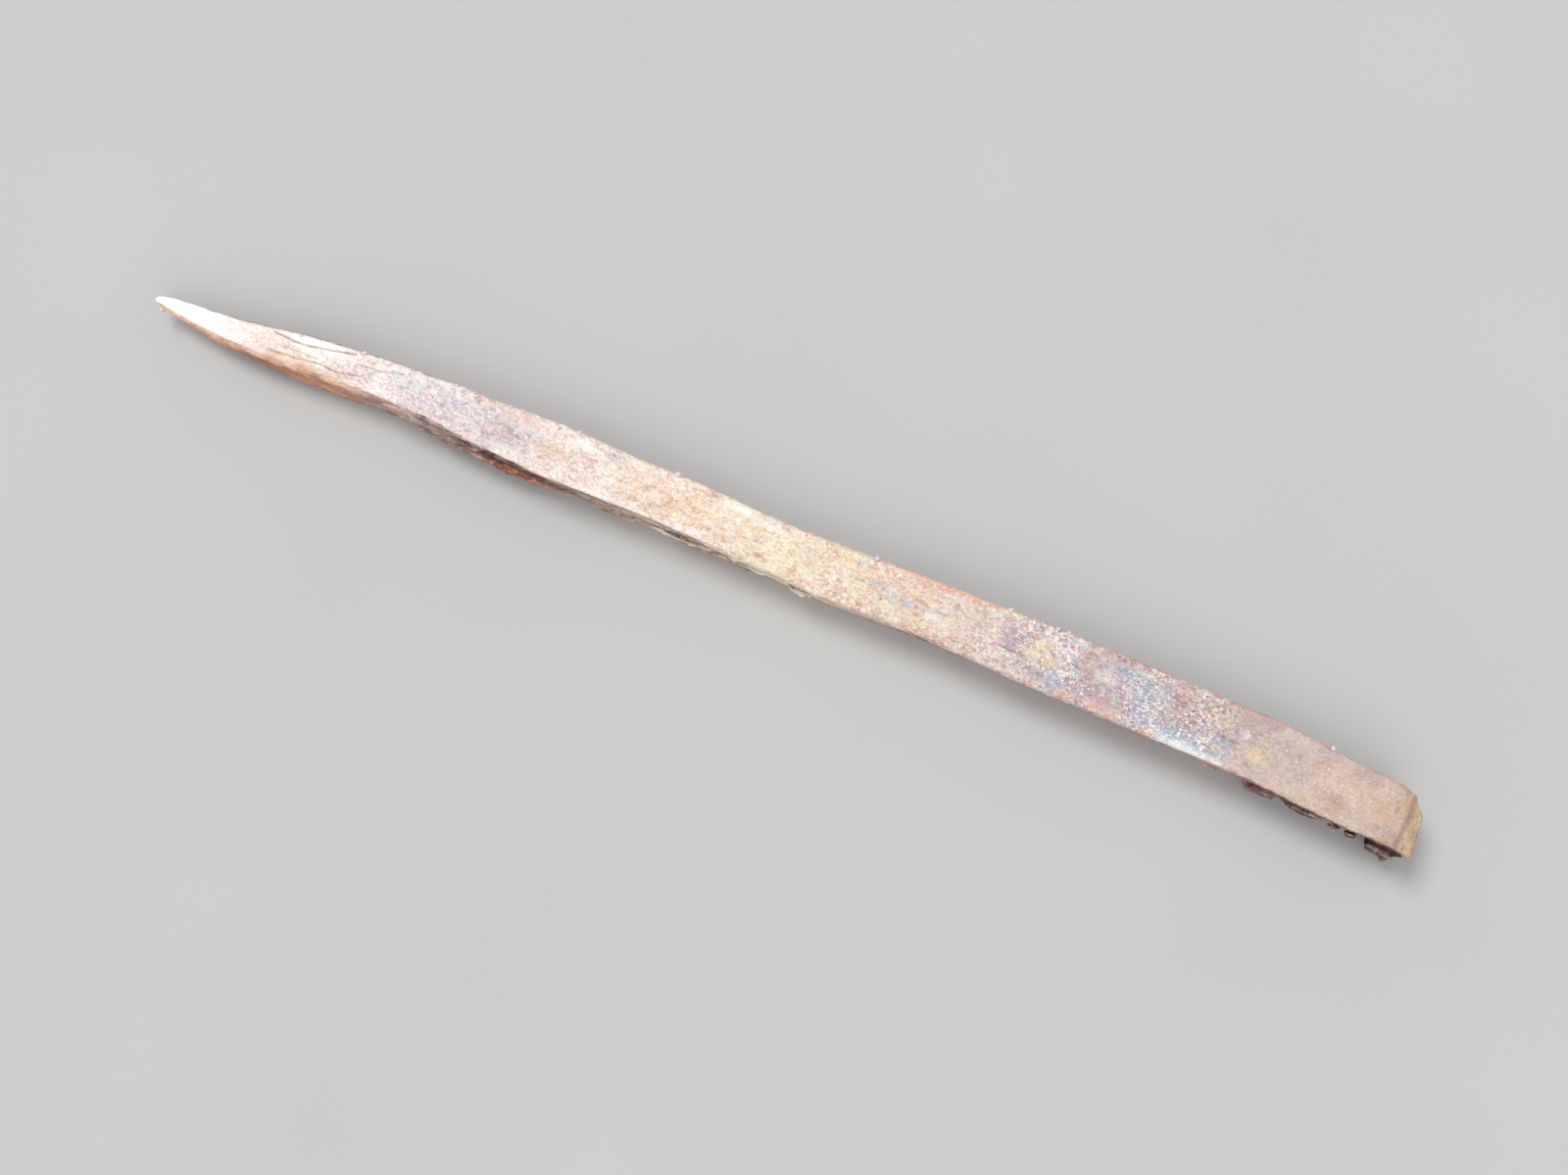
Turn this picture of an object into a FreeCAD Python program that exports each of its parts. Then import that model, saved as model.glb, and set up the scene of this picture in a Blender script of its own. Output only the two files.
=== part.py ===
"""Plain square driven spike, lying on one of its flats, with the rust scale that is parting from it.

Millimetres. +X points from the drawn point to the struck head, +Z is up, and -Y is the side that carries
the layered scale. The origin is the middle of the foot of the overall box.
"""
import FreeCAD, Part
import math
import os

from FreeCAD import Placement, Rotation, Vector

# ---- driving dimensions ----------------------------------------------------------------------------
LENGTH = 254.0                 # a 10 inch spike, from the point to the struck face
HALF_LENGTH = LENGTH / 2.0
SUNK_LEVEL = -0.4              # the shank is drawn this low and then cut flat where it rests, at z = 0

STRUCK_FACE_SKEW_DEG = 7.0     # the struck face is not square to the shank
RIM_BEVEL_LENGTH = 2.7         # hammered bevel along the top rim of the struck face
RIM_BEVEL_DEPTH = 1.0
FOOT_BEVEL_LENGTH = 0.8        # and along its foot
FOOT_BEVEL_DEPTH = 0.8

# The forging is a loft through these sections, each a four-cornered outline with rounded corners:
# x, y of the back edge, y of the front edge, how far the foot of the front side stands out beyond its
# top edge (negative where the side is undercut), top level, low level, corner radius.
BAR_SECTIONS = [
    (-127.0, -1.10, -2.80, 0.0, 5.8, 4.1, 0.7),
    (-124.6, -0.60, -3.15, 0.1, 6.3, 3.7, 1.0),
    (-114.3, 0.10, -4.35, 0.6, 7.4, 2.5, 1.4),
    (-99.8, 2.05, -4.45, 1.5, 8.7, 1.1, 1.9),
    (-85.3, 3.65, -4.05, 1.2, 9.4, 0.0, 1.7),
    (-71.0, 4.30, -3.95, 0.5, 9.8, SUNK_LEVEL, 1.1),
    (-50.8, 4.95, -5.10, 0.1, 10.0, SUNK_LEVEL, 0.9),
    (-24.0, 4.75, -5.20, 0.1, 10.2, SUNK_LEVEL, 0.9),
    (-10.0, 4.65, -5.60, -0.2, 10.3, SUNK_LEVEL, 1.0),
    (0.0, 4.20, -5.95, -0.5, 10.4, SUNK_LEVEL, 1.0),
    (14.0, 4.45, -6.40, -0.8, 10.5, SUNK_LEVEL, 1.0),
    (28.0, 4.95, -5.95, -0.8, 10.6, SUNK_LEVEL, 0.9),
    (42.0, 5.30, -6.35, -1.2, 10.7, SUNK_LEVEL, 0.8),
    (65.0, 5.45, -6.60, -1.2, 10.9, SUNK_LEVEL, 0.8),
    (97.0, 5.00, -7.20, -1.4, 11.3, SUNK_LEVEL, 0.8),
    (111.0, 4.10, -8.00, -1.5, 11.5, SUNK_LEVEL, 0.8),
    (128.5, 2.90, -8.95, -1.5, 11.6, SUNK_LEVEL, 0.8),
]
X, BACK, FRONT, LEAN, TOP, LOW, CORNER_R = range(7)

# The back corner of the head is knocked off in flats: x and y of a point on each, and which way the flat
# faces in plan, in degrees from +X towards +Y.
HEAD_CORNER_FLATS = [
    (118.0, 3.80, 75.0),
    (124.2, 1.60, 35.0),
]

# Scale on the front side. Each piece is an upright plate: its outer line in plan, from the point towards
# the head, then its low and high level. Inwards it meets the forging, or the plate beneath it.
PLATE_ROOT = -3.0              # plates are drawn outwards from here and the forging is cut away
INNER_PLATE = ([(-80.0, -4.2), (-77.0, -4.5), (-71.5, -4.9), (-59.0, -5.6), (-51.0, -5.9), (-43.0, -5.8),
                (-37.0, -5.6)], 0.9, 8.8)
OUTER_PLATE = ([(-73.0, -4.7), (-71.6, -5.5), (-63.0, -6.0), (-56.0, -6.5), (-50.0, -6.65), (-45.0, -6.3),
                (-40.0, -6.0), (-38.0, -5.7)], 1.4, 7.2)
THIN_PLATES = [
    ([(-36.5, -5.4), (-35.0, -5.95), (-28.0, -6.0), (-26.0, -5.5)], 1.0, 8.4),
    ([(-24.5, -5.4), (-22.5, -5.85), (-12.0, -6.0), (-9.8, -5.6)], 1.6, 8.0),
    ([(-8.5, -5.7), (-7.0, -6.0), (-2.0, -6.05), (-0.5, -5.9)], 2.4, 8.6),
]
SHANK_REMNANTS = [
    ([(3.8, -6.1), (5.0, -6.9), (7.6, -7.1), (9.8, -6.4)], 3.6, 8.8),
    ([(27.0, -5.7), (28.4, -5.95), (32.6, -6.0), (34.6, -5.8)], 3.4, 7.8),
    ([(72.2, -6.6), (73.4, -7.0), (75.2, -7.1), (76.4, -6.8)], 6.0, 9.8),
    ([(85.8, -6.9), (87.0, -7.25), (88.4, -7.3), (89.6, -7.1)], 5.2, 9.2),
]
HEAD_LIP = ([(95.6, -7.1), (96.6, -7.7), (98.2, -7.9), (100.2, -7.7), (101.0, -7.3)], 3.0, 8.4)
HEAD_STACK_BASE = ([(101.6, -7.1), (102.6, -7.4), (105.5, -7.6), (109.2, -7.85), (110.8, -7.9)], 2.2, 9.0)
HEAD_SLIVERS = [
    ([(111.4, -8.0), (112.0, -8.45), (113.4, -8.6), (114.2, -8.2)], 4.8, 8.8),
    ([(114.6, -8.3), (115.2, -8.8), (116.6, -8.9), (117.4, -8.5)], 4.0, 7.6),
]

# Layers that have parted from what is beneath them and still hold at one end: closed plan outlines.
HEAD_STACK_LAYER = ([(110.4, -7.6), (110.4, -8.15), (106.0, -8.15), (102.8, -7.85), (102.9, -7.65),
                     (107.6, -7.92), (107.8, -7.6)], 3.0, 7.8)
LIFTING_FLAKE = ([(126.3, -7.0), (126.4, -9.1), (125.5, -9.65), (122.8, -9.8), (120.4, -9.55), (119.3, -9.15),
                  (119.6, -8.95), (121.6, -9.05), (123.4, -9.0), (124.3, -8.7), (124.4, -7.0)], 2.6, 7.6)
SMALL_FLAKE = ([(122.0, -9.3), (123.4, -10.6), (124.8, -9.4)], 3.4, 4.6)

# Grit and rust grains cemented along the top back edge: x, side, and how far each is turned in plan.
EDGE_GRAINS = [
    (-97.9, 0.7, 20.0),
    (-85.4, 0.8, 65.0),
    (-66.8, 0.7, 10.0),
    (-42.3, 1.0, 40.0),
    (-22.4, 1.0, 75.0),
    (17.4, 0.9, 30.0),
    (43.6, 0.8, 55.0),
    (52.8, 0.9, 15.0),
    (54.9, 0.8, 70.0),
    (106.6, 0.9, 45.0),
]
NOSE_GRAIN = (-125.2, -3.25, 4.7)   # and one on the front of the point: where its middle is
NOSE_GRAIN_SIDE = 0.9
NOSE_GRAIN_TURN_DEG = 50.0
GRAIN_TIP_DEG = 35.0           # every grain is also tipped over this far


def rounded_outline(corners, radius):
    """Closed wire through the corners in order, with a tangent arc in place of each corner."""
    count = len(corners)
    arcs = []
    for i in range(count):
        corner = corners[i]
        to_previous = (corners[i - 1] - corner).normalize()
        to_next = (corners[(i + 1) % count] - corner).normalize()
        half_angle = to_previous.getAngle(to_next) / 2.0
        setback = radius / math.tan(half_angle)
        inwards = (to_previous + to_next).normalize()
        middle = corner + inwards * (radius / math.sin(half_angle) - radius)
        arcs.append((corner + to_previous * setback, middle, corner + to_next * setback))
    edges = []
    for i in range(count):
        start, middle, end = arcs[i]
        next_start = arcs[(i + 1) % count][0]
        edges.append(Part.Arc(start, middle, end).toShape())
        edges.append(Part.LineSegment(end, next_start).toShape())
    return Part.Wire(edges)


def beyond(point, plan_deg, rise_deg=0.0):
    """Big block beyond the plane through point that faces plan_deg, tipped up by rise_deg."""
    side = 60.0
    plan = math.radians(plan_deg)
    rise = math.radians(rise_deg)
    facing = Vector(math.cos(plan) * math.cos(rise), math.sin(plan) * math.cos(rise), math.sin(rise))
    block = Part.makeBox(side, side, side, Vector(0, -side / 2.0, -side / 2.0))
    block.Placement = Placement(point, Rotation(Vector(1, 0, 0), facing))
    return block


def bar_value(x, column):
    """One column of BAR_SECTIONS at any x, in straight lines between the sections."""
    for before, after in zip(BAR_SECTIONS, BAR_SECTIONS[1:]):
        if x <= after[X]:
            share = (x - before[X]) / (after[X] - before[X])
            return before[column] + share * (after[column] - before[column])
    return BAR_SECTIONS[-1][column]


# ---- the forging -----------------------------------------------------------------------------------
def bar_section(section):
    x, back, front, lean, top, low, radius = section
    foot = front - lean
    corners = [Vector(x, back, top), Vector(x, front, top), Vector(x, foot, low), Vector(x, back, low)]
    return rounded_outline(corners, radius)


def head_trim():
    """Blocks that cut the struck face, its bevels and the knocked-off back corner."""
    front = bar_value(HALF_LENGTH, FRONT)
    top = bar_value(HALF_LENGTH, TOP)
    rim_rise = math.degrees(math.atan2(RIM_BEVEL_LENGTH, RIM_BEVEL_DEPTH))
    foot_rise = -math.degrees(math.atan2(FOOT_BEVEL_LENGTH, FOOT_BEVEL_DEPTH))
    struck_corner = Vector(HALF_LENGTH, front, 0)
    blocks = [
        beyond(struck_corner, STRUCK_FACE_SKEW_DEG),
        beyond(struck_corner + Vector(0, 0, top - RIM_BEVEL_DEPTH), STRUCK_FACE_SKEW_DEG, rim_rise),
        beyond(struck_corner + Vector(0, 0, FOOT_BEVEL_DEPTH), STRUCK_FACE_SKEW_DEG, foot_rise),
    ]
    for x, y, plan_deg in HEAD_CORNER_FLATS:
        blocks.append(beyond(Vector(x, y, 0), plan_deg))
    last_x, last_y, last_deg = HEAD_CORNER_FLATS[-1]
    blocks.append(beyond(Vector(last_x, last_y, top - RIM_BEVEL_DEPTH), last_deg, rim_rise))
    return blocks


def spike_bar():
    drawn = Part.makeLoft([bar_section(section) for section in BAR_SECTIONS], True, False)
    ground = Part.makeBox(2 * LENGTH, 60, 20, Vector(-LENGTH, -30, -20))
    return drawn.cut([ground] + head_trim())


# ---- the scale and the grit ------------------------------------------------------------------------
def upright_prism(outline, low, high):
    points = [Vector(x, y, low) for x, y in outline]
    return Part.Face(Part.makePolygon(points + points[:1])).extrude(Vector(0, 0, high - low))


def scale_plate(plate, beneath):
    """Plate from its outer line in to the solids beneath it."""
    outer_line, low, high = plate
    root = [(outer_line[-1][0], PLATE_ROOT), (outer_line[0][0], PLATE_ROOT)]
    return upright_prism(outer_line + root, low, high).cut(beneath)


def parted_layer(layer, beneath):
    """Layer that stands off what is beneath it, apart from the end where it still holds."""
    outline, low, high = layer
    return upright_prism(outline, low, high).cut(beneath)


def scale_group(plates, beneath):
    return Part.makeCompound([scale_plate(plate, beneath) for plate in plates])


def head_stack(bar):
    base = scale_plate(HEAD_STACK_BASE, [bar])
    return Part.makeCompound([base, parted_layer(HEAD_STACK_LAYER, [bar, base])])


def back_edge(x):
    """Point on the rounded top back edge of the forging."""
    setback = (1.0 - math.sqrt(0.5)) * bar_value(x, CORNER_R)
    return Vector(x, bar_value(x, BACK) - setback, bar_value(x, TOP) - setback)


def grain(centre, side, turn_deg, bar):
    """Angular grain, half sunk in the forging."""
    block = Part.makeBox(side, side, side, Vector(-side / 2.0, -side / 2.0, -side / 2.0))
    block.Placement = Placement(centre, Rotation(turn_deg, GRAIN_TIP_DEG, 0))
    return block.cut([bar])


def cemented_grains(bar):
    grains = [grain(back_edge(x), side, turn_deg, bar) for x, side, turn_deg in EDGE_GRAINS]
    grains.append(grain(Vector(*NOSE_GRAIN), NOSE_GRAIN_SIDE, NOSE_GRAIN_TURN_DEG, bar))
    return Part.makeCompound(grains)


# ---- the assembly ----------------------------------------------------------------------------------
def build():
    bar = spike_bar()
    inner = scale_plate(INNER_PLATE, [bar])
    flake = parted_layer(LIFTING_FLAKE, [bar])
    return {
        "spike_bar": bar,
        "side_scale_inner": inner,
        "side_scale_outer": scale_plate(OUTER_PLATE, [bar, inner]),
        "side_scale_thin": scale_group(THIN_PLATES, [bar]),
        "shank_scale_remnants": scale_group(SHANK_REMNANTS, [bar]),
        "head_scale_lip": scale_plate(HEAD_LIP, [bar]),
        "head_scale_stack": head_stack(bar),
        "head_scale_slivers": scale_group(HEAD_SLIVERS, [bar]),
        "head_lifting_flake": flake,
        "head_small_flake": parted_layer(SMALL_FLAKE, [bar, flake]),
        "cemented_grains": cemented_grains(bar),
    }


def main():
    os.makedirs("parts", exist_ok=True)
    nodes = build()
    box = Part.makeCompound(list(nodes.values())).optimalBoundingBox(False)
    to_origin = Vector(-box.Center.x, -box.Center.y, -box.ZMin)
    for name, shape in nodes.items():
        shape.translate(to_origin)
        shape.exportStep("parts/" + name + ".step")
        sound = "sound" if shape.isValid() else "NOT VALID"
        print(name, len(shape.Solids), "solids", round(shape.Volume, 2), "mm3", sound)
    print("moved by", to_origin)
    print("overall", round(box.XLength, 3), round(box.YLength, 3), round(box.ZLength, 3), "mm")


main()
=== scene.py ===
"""Rusted square driven spike on a pale floor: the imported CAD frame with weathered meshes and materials.

The scene is in metres, in the frame's own axes: X along the spike from its point to its head, Y to the
back, Z up. The weathering, and the sizes in the materials, are worked out in millimetres.
"""
import math
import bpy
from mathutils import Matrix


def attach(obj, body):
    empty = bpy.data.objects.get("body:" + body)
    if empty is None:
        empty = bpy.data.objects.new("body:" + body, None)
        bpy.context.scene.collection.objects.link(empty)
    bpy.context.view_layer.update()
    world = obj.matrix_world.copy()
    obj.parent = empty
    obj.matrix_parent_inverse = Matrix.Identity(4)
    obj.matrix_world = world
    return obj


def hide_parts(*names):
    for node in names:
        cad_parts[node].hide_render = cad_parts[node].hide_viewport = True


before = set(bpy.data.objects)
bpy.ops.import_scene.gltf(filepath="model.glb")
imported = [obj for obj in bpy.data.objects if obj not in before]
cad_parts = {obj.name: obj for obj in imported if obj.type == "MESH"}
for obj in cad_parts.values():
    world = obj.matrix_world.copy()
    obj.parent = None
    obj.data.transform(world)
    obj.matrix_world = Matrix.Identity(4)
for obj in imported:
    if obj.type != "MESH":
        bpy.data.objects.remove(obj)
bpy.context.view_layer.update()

from types import SimpleNamespace
from typing import NamedTuple

import bmesh
import bpy
import numpy as np
from mathutils import Vector
from mathutils.bvhtree import BVHTree
from mathutils.kdtree import KDTree

MM = 0.001

# ---- camera, as the spike is seen ----
AZIMUTH_DEG = 22.9
ELEVATION_DEG = 82.0
CAMERA_DISTANCE = 0.4034
CAMERA_SLIDE = (0.00165, -0.00522)      # to the right and up, seen through the camera
AIM_HEIGHT = 0.0058                     # the middle of the shank's height
LENS_MM = 50.0
SENSOR_MM = 36.0


def make_camera():
    a = math.radians(AZIMUTH_DEG)
    e = math.radians(ELEVATION_DEG)
    back = Vector((math.sin(a) * math.cos(e), -math.cos(a) * math.cos(e), math.sin(e)))
    right = Vector((math.cos(a), math.sin(a), 0.0))
    up = back.cross(right)
    data = bpy.data.cameras.new("camera")
    data.lens = LENS_MM
    data.sensor_width = SENSOR_MM
    data.clip_start = 0.01
    data.clip_end = 20.0
    camera = bpy.data.objects.new("camera", data)
    bpy.context.scene.collection.objects.link(camera)
    aim = Vector((0.0, 0.0, AIM_HEIGHT)) + right * CAMERA_SLIDE[0] + up * CAMERA_SLIDE[1]
    camera.location = aim + back * CAMERA_DISTANCE
    camera.rotation_mode = "QUATERNION"
    camera.rotation_quaternion = (-back).to_track_quat("-Z", "Y")
    bpy.context.scene.camera = camera


# ---- noise, in numpy, every table seeded ----
LATTICE = 32            # the noise repeats after this many cells
GRAIN_RADIUS = 0.62     # of a grain, as a share of its cell


def value_noise(points, wavelength, seed):
    """Smooth noise from 0 to 1 at points (n, 3), from random lattice corners."""
    table = np.random.default_rng(seed).random((LATTICE, LATTICE, LATTICE))
    where = points / wavelength
    cell = np.floor(where).astype(int)
    share = where - cell
    share = share * share * (3.0 - 2.0 * share)
    total = np.zeros(len(points))
    for corner in np.ndindex(2, 2, 2):
        weight = np.ones(len(points))
        for axis in range(3):
            weight *= share[:, axis] if corner[axis] else 1.0 - share[:, axis]
        i, j, k = ((cell + corner) % LATTICE).T
        total += weight * table[i, j, k]
    return total


def fractal(points, wavelength, seed, octaves=3):
    """Several octaves of value noise, from -1 to 1."""
    turned = points @ TURN
    total = np.zeros(len(points))
    height = 1.0
    reach = 0.0
    for octave in range(octaves):
        total += height * (2.0 * value_noise(turned, wavelength, seed + octave) - 1.0)
        reach += height
        wavelength *= 0.5
        height *= 0.5
    return total / reach


def grains(points, size, seed, cover):
    """Cemented grains: domes from 0 to 1 in the given share of the cells."""
    rng = np.random.default_rng(seed)
    shape = (LATTICE, LATTICE, LATTICE)
    jitter = rng.random(shape + (3,))
    height = np.where(rng.random(shape) < cover, rng.uniform(0.3, 1.0, shape), 0.0)
    where = points / size
    cell = np.floor(where).astype(int)
    best = np.zeros(len(points))
    for step in np.ndindex(3, 3, 3):
        near = cell + np.array(step) - 1
        i, j, k = (near % LATTICE).T
        gap = np.linalg.norm(where - near - jitter[i, j, k], axis=1)
        dome = np.clip(1.0 - (gap / GRAIN_RADIUS) ** 2, 0.0, None) * height[i, j, k]
        best = np.maximum(best, dome)
    return best


def turn_matrix():
    """A fixed rotation that keeps the noise lattice off the spike's own axes."""
    a, b = 0.7, 0.5
    about_z = np.array([[math.cos(a), -math.sin(a), 0], [math.sin(a), math.cos(a), 0], [0, 0, 1]])
    about_x = np.array([[1, 0, 0], [0, math.cos(b), -math.sin(b)], [0, math.sin(b), math.cos(b)]])
    return about_z @ about_x


TURN = turn_matrix()


def smooth(low, high, value):
    """Smooth step from 0 at low to 1 at high. Either may be the larger."""
    share = np.clip((value - low) / (high - low), 0.0, 1.0)
    return share * share * (3.0 - 2.0 * share)


def between(value, start, full, fading, end):
    """1 from full to fading, with a smooth rise before and a smooth fall after."""
    return smooth(start, full, value) * (1.0 - smooth(fading, end, value))


def bell(value, centre, width):
    return np.exp(-((value - centre) / width) ** 2)


def terraces(value, steps):
    """Value from 0 to 1 turned into flat steps with short steep risers."""
    scaled = value * steps
    tread = np.floor(scaled)
    return (tread + smooth(0.75, 1.0, scaled - tread)) / steps


# ---- meshes ----
def new_piece(name, mesh):
    piece = bpy.data.objects.new(name, mesh)
    bpy.context.scene.collection.objects.link(piece)
    return piece


def even_out(piece, voxel_mm, soften=0):
    """Rebuild the piece's surface from even squares."""
    modifier = piece.modifiers.new("even", "REMESH")
    modifier.mode = "VOXEL"
    modifier.voxel_size = voxel_mm * MM
    if soften:
        smoothing = piece.modifiers.new("soften", "SMOOTH")
        smoothing.iterations = soften
    graph = bpy.context.evaluated_depsgraph_get()
    even = bpy.data.meshes.new_from_object(piece.evaluated_get(graph))
    piece.modifiers.clear()
    piece.data = even
    piece.data.materials.clear()
    return piece


def groups(work):
    """The vertices of a bmesh, lump by lump."""
    found = []
    seen = set()
    for start in work.verts:
        if start in seen:
            continue
        group = []
        waiting = [start]
        seen.add(start)
        while waiting:
            vertex = waiting.pop()
            group.append(vertex)
            for link in vertex.link_edges:
                other = link.other_vert(vertex)
                if other not in seen:
                    seen.add(other)
                    waiting.append(other)
        found.append(group)
    return found


def drop_crumbs(mesh, smallest_mm):
    """Remove loose lumps that are shorter than this."""
    work = bmesh.new()
    work.from_mesh(mesh)
    for group in groups(work):
        points = np.array([vertex.co[:] for vertex in group]) / MM
        if np.ptp(points, axis=0).max() < smallest_mm:
            bmesh.ops.delete(work, geom=group, context="VERTS")
    work.to_mesh(mesh)
    work.free()


def read_mesh(mesh):
    """Vertex positions in millimetres and normals, both (n, 3)."""
    count = len(mesh.vertices)
    co = np.empty(count * 3)
    mesh.vertices.foreach_get("co", co)
    normals = np.empty(count * 3)
    mesh.vertices.foreach_get("normal", normals)
    return co.reshape(-1, 3) / MM, normals.reshape(-1, 3)


def write_mesh(mesh, co_mm):
    """Move the vertices to these positions in millimetres."""
    mesh.vertices.foreach_set("co", (co_mm * MM).ravel())
    mesh.update()


def paint(mesh, name, values):
    """Store a mask from 0 to 1 for the materials."""
    layer = mesh.attributes.new(name, "FLOAT", "POINT")
    layer.data.foreach_set("value", np.clip(values, 0.0, 1.0))


def put(piece, slot, material, *nodes):
    """Give the piece its finish and its place on the root body, instead of CAD nodes."""
    piece.data.materials.append(material)
    for polygon in piece.data.polygons:
        polygon.use_smooth = True
    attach(piece, "root")
    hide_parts(*nodes)


# ---- the forging ----
# Folds and cracks in the top: lines in plan (x, y), width, depth and height of the lip at the back of it.
# The first one is the long fold at the point, with a bare, smooth lens behind it.
FOLDS = [
    ([(-102.5, 3.0), (-98.5, 2.6), (-96.3, 2.65), (-91.2, 3.6), (-86.5, 4.8)], 0.15, 0.36, 0.20),
    ([(-102.5, -0.7), (-96.3, -0.2), (-93.0, 0.35), (-88.5, 0.2), (-84.0, 1.2)], 0.16, 0.18, 0.08),
    ([(-100.0, 0.9), (-96.5, 1.1), (-93.5, 1.0)], 0.13, 0.09, 0.04),
    ([(-86.0, 3.1), (-81.0, 3.5), (-77.0, 4.6)], 0.14, 0.12, 0.03),
    ([(28.4, 2.1), (30.6, 1.8), (33.2, 1.9)], 0.20, 0.20, 0.05),
    ([(44.0, 0.7), (46.2, 0.5), (48.6, 0.6)], 0.20, 0.20, 0.05),
    ([(86.5, 1.2), (89.0, 0.6), (90.5, 0.9)], 0.20, 0.15, 0.0),
]

# Flat left by the last hammer blows on the very point: where it starts, its height there, and its slopes.
FACET_X = -108.6
FACET_Z = 7.55
FACET_SLOPE_X = 0.125
FACET_SLOPE_Y = 0.06

RIM_X = 123.6       # where the bevel of the struck end starts


def distance_to_line(points, line):
    """Distance in plan to a line of points, and the side of it: positive towards +Y."""
    best = np.full(len(points), 1e9)
    side = np.zeros(len(points))
    flat = points[:, :2]
    for start, end in zip(line, line[1:]):
        a = np.array(start)
        along = np.array(end) - a
        share = np.clip((flat - a) @ along / (along @ along), 0.0, 1.0)
        off = flat - (a + share[:, None] * along)
        gap = np.linalg.norm(off, axis=1)
        nearer = gap < best
        best[nearer] = gap[nearer]
        side[nearer] = np.sign(along[0] * off[:, 1] - along[1] * off[:, 0])[nearer]
    return best, side


# Stains and bloom on the top face: x, y, half-length, half-width and strength of each spot.
TINTS = {
    "blue": [
        (-90.7, 2.2, 2, 1, 0.3), (-83.7, 2, 3, 1.5, 0.35), (-75.8, 2.9, 4, 2, 0.45),
        (-68, 3.6, 4, 2, 0.5), (-62.5, 3.7, 2.5, 1.2, 0.5), (-54.6, 2.7, 3.5, 0.8, 0.4),
        (-49, 3.3, 2.5, 1, 0.5), (-37.6, 2.4, 2, 2, 0.3), (15.4, 5, 1.2, 0.8, 0.9),
        (19.6, 2.4, 2, 0.7, 0.9), (24.4, 1.2, 4, 1.2, 0.6), (31.6, 1.1, 2, 1, 0.5),
        (52.3, -1.6, 1.8, 1.6, 0.8), (55.7, -2.2, 1.3, 1.3, 1.5), (67.4, 4.8, 2.5, 1.5, 0.8),
        (73.3, 3.6, 3, 1.8, 1), (72.5, -1, 2.5, 1, 0.9), (78, -2.8, 6, 1.3, 1.2),
        (84, -3, 5, 1.2, 1.1), (87.7, -0.4, 2, 0.9, 0.9),
    ],
    "lilac": [
        (-70, 1, 8, 4, 0.5), (-55, 1.5, 6, 3, 0.7), (-40, 2, 4, 2.5, 0.4),
        (-33.7, 5.5, 2, 1, 0.8), (45.7, 1.6, 2.2, 1.4, 1), (46.6, 3.4, 3, 2, 0.6),
        (50, -0.8, 5, 1.3, 0.6), (60, 1.5, 7, 3, 0.5), (61, -1.3, 6, 1.3, 0.9),
        (78, -1.5, 5, 1, 0.9), (71, 0.5, 7, 2.5, 0.7), (80, -0.2, 4, 1.5, 0.9),
        (86.5, 0.4, 3.5, 1.4, 0.9), (91, 3.3, 2.2, 1.6, 0.8), (94.8, 5.8, 2.5, 1.2, 0.8),
        (98, 3.6, 3, 1.5, 0.6), (102, -1, 4, 1.5, 0.5), (101.5, 3.3, 2.5, 1.5, 0.6),
        (106, 5.5, 2.5, 1.2, 0.7), (113.8, 3.6, 3, 1.6, 0.6), (118.5, -3.8, 4, 0.9, 0.7),
    ],
    "white": [
        (-94.5, 3.6, 6, 0.9, 1.2), (-78.4, -0.8, 6, 1.2, 0.7), (-66, -1.3, 5, 1, 0.6),
        (-52.9, -1.6, 4, 1.2, 0.7), (-40.2, 5.4, 3, 0.9, 0.9), (-36, -2.4, 5, 1, 0.7),
        (-28.5, -2.3, 4, 1, 0.8), (-16, -2.4, 5, 0.9, 0.8), (-9, 5.4, 4, 0.8, 0.9),
        (-3.4, 4.7, 3, 0.8, 1), (31, 0.6, 2, 1, 0.7), (64.2, 2.6, 2.4, 0.8, 0.6),
        (73.6, 4, 1.4, 1, 0.45), (80, -3.9, 5, 0.9, 1.2), (84.8, -4.2, 4, 0.8, 1.2),
        (91.2, 2.8, 0.8, 0.8, 0.8),
    ],
    "yellow": [
        (-47, 1.8, 3, 1.2, 0.6), (-15.5, 2.7, 7, 2.5, 0.5), (-5.6, 3.5, 2.5, 1, 0.6),
        (4, 0.5, 8, 4, 0.4), (12.8, 5, 3, 1.5, 0.7), (51.5, 4, 2.5, 1.4, 0.8),
        (52.5, 1.6, 3.5, 0.9, 1.1), (94, -0.2, 1.4, 1, 1.1), (110.3, 0.7, 4, 2, 0.35),
        (103, -3, 3, 1, 0.5),
    ],
    "orange": [
        (-22.2, 1.6, 1, 0.6, 1.5), (-20.9, 1, 0.6, 0.6, 1.2), (34.6, 6.9, 4, 0.9, 0.65),
        (40.5, 7.2, 5, 0.8, 0.6), (74.6, -4, 1.6, 0.8, 1.5), (119, -1, 2, 2.5, 0.5),
        (122.5, 2.6, 1, 2, 0.5), (96, 7, 2, 0.6, 0.8),
    ],
    "salmon": [
        (-53.3, 5.3, 4, 1.2, 0.5), (-30, 4, 5, 1.5, 0.5), (28, 6.4, 8, 1.2, 0.6),
        (57.2, -3, 1.3, 1, 1.3), (64.4, -2.4, 2.5, 1, 0.9), (67, -3.2, 3, 0.8, 0.9),
        (90.5, -3.6, 3, 0.8, 0.7), (98.6, -3.4, 4, 0.7, 0.45), (113, 2, 5, 2, 0.4),
        (116, -4, 5, 1, 0.4),
    ],
}


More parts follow.
